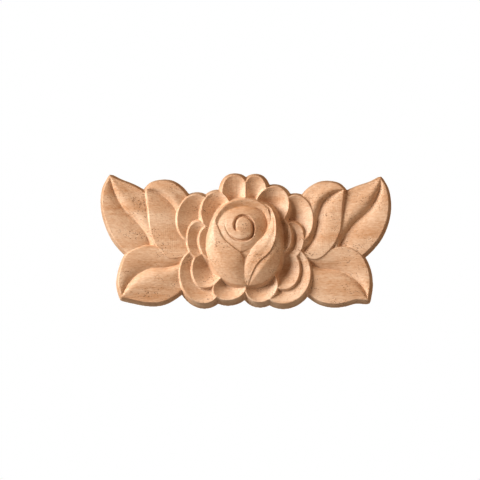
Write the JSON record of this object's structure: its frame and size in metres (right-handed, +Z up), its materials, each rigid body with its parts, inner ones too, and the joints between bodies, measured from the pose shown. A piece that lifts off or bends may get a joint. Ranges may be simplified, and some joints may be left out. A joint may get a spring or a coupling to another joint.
{
  "type": "carved wooden rosette applique",
  "caption": "Carved wooden applique with an open rose between spreading leaves and a flat back, glued or pinned on furniture, doors or mouldings as an ornament.",
  "frame": {"origin": "on the flat back, at the middle of the rosette's length and height", "axes": "+X along the rosette, +Z up as it hangs, +Y out of the flat back towards what it is fixed to; the carving faces -Y"},
  "size_m": [0.1503, 0.0143, 0.0706],
  "materials": {
    "carved_wood": "unpainted pale hardwood, sanded, with fine cutter marks and dark pores"
  },
  "bodies": {
    "root": {"carved_rosette": "carved_wood"}
  },
  "joints": []
}
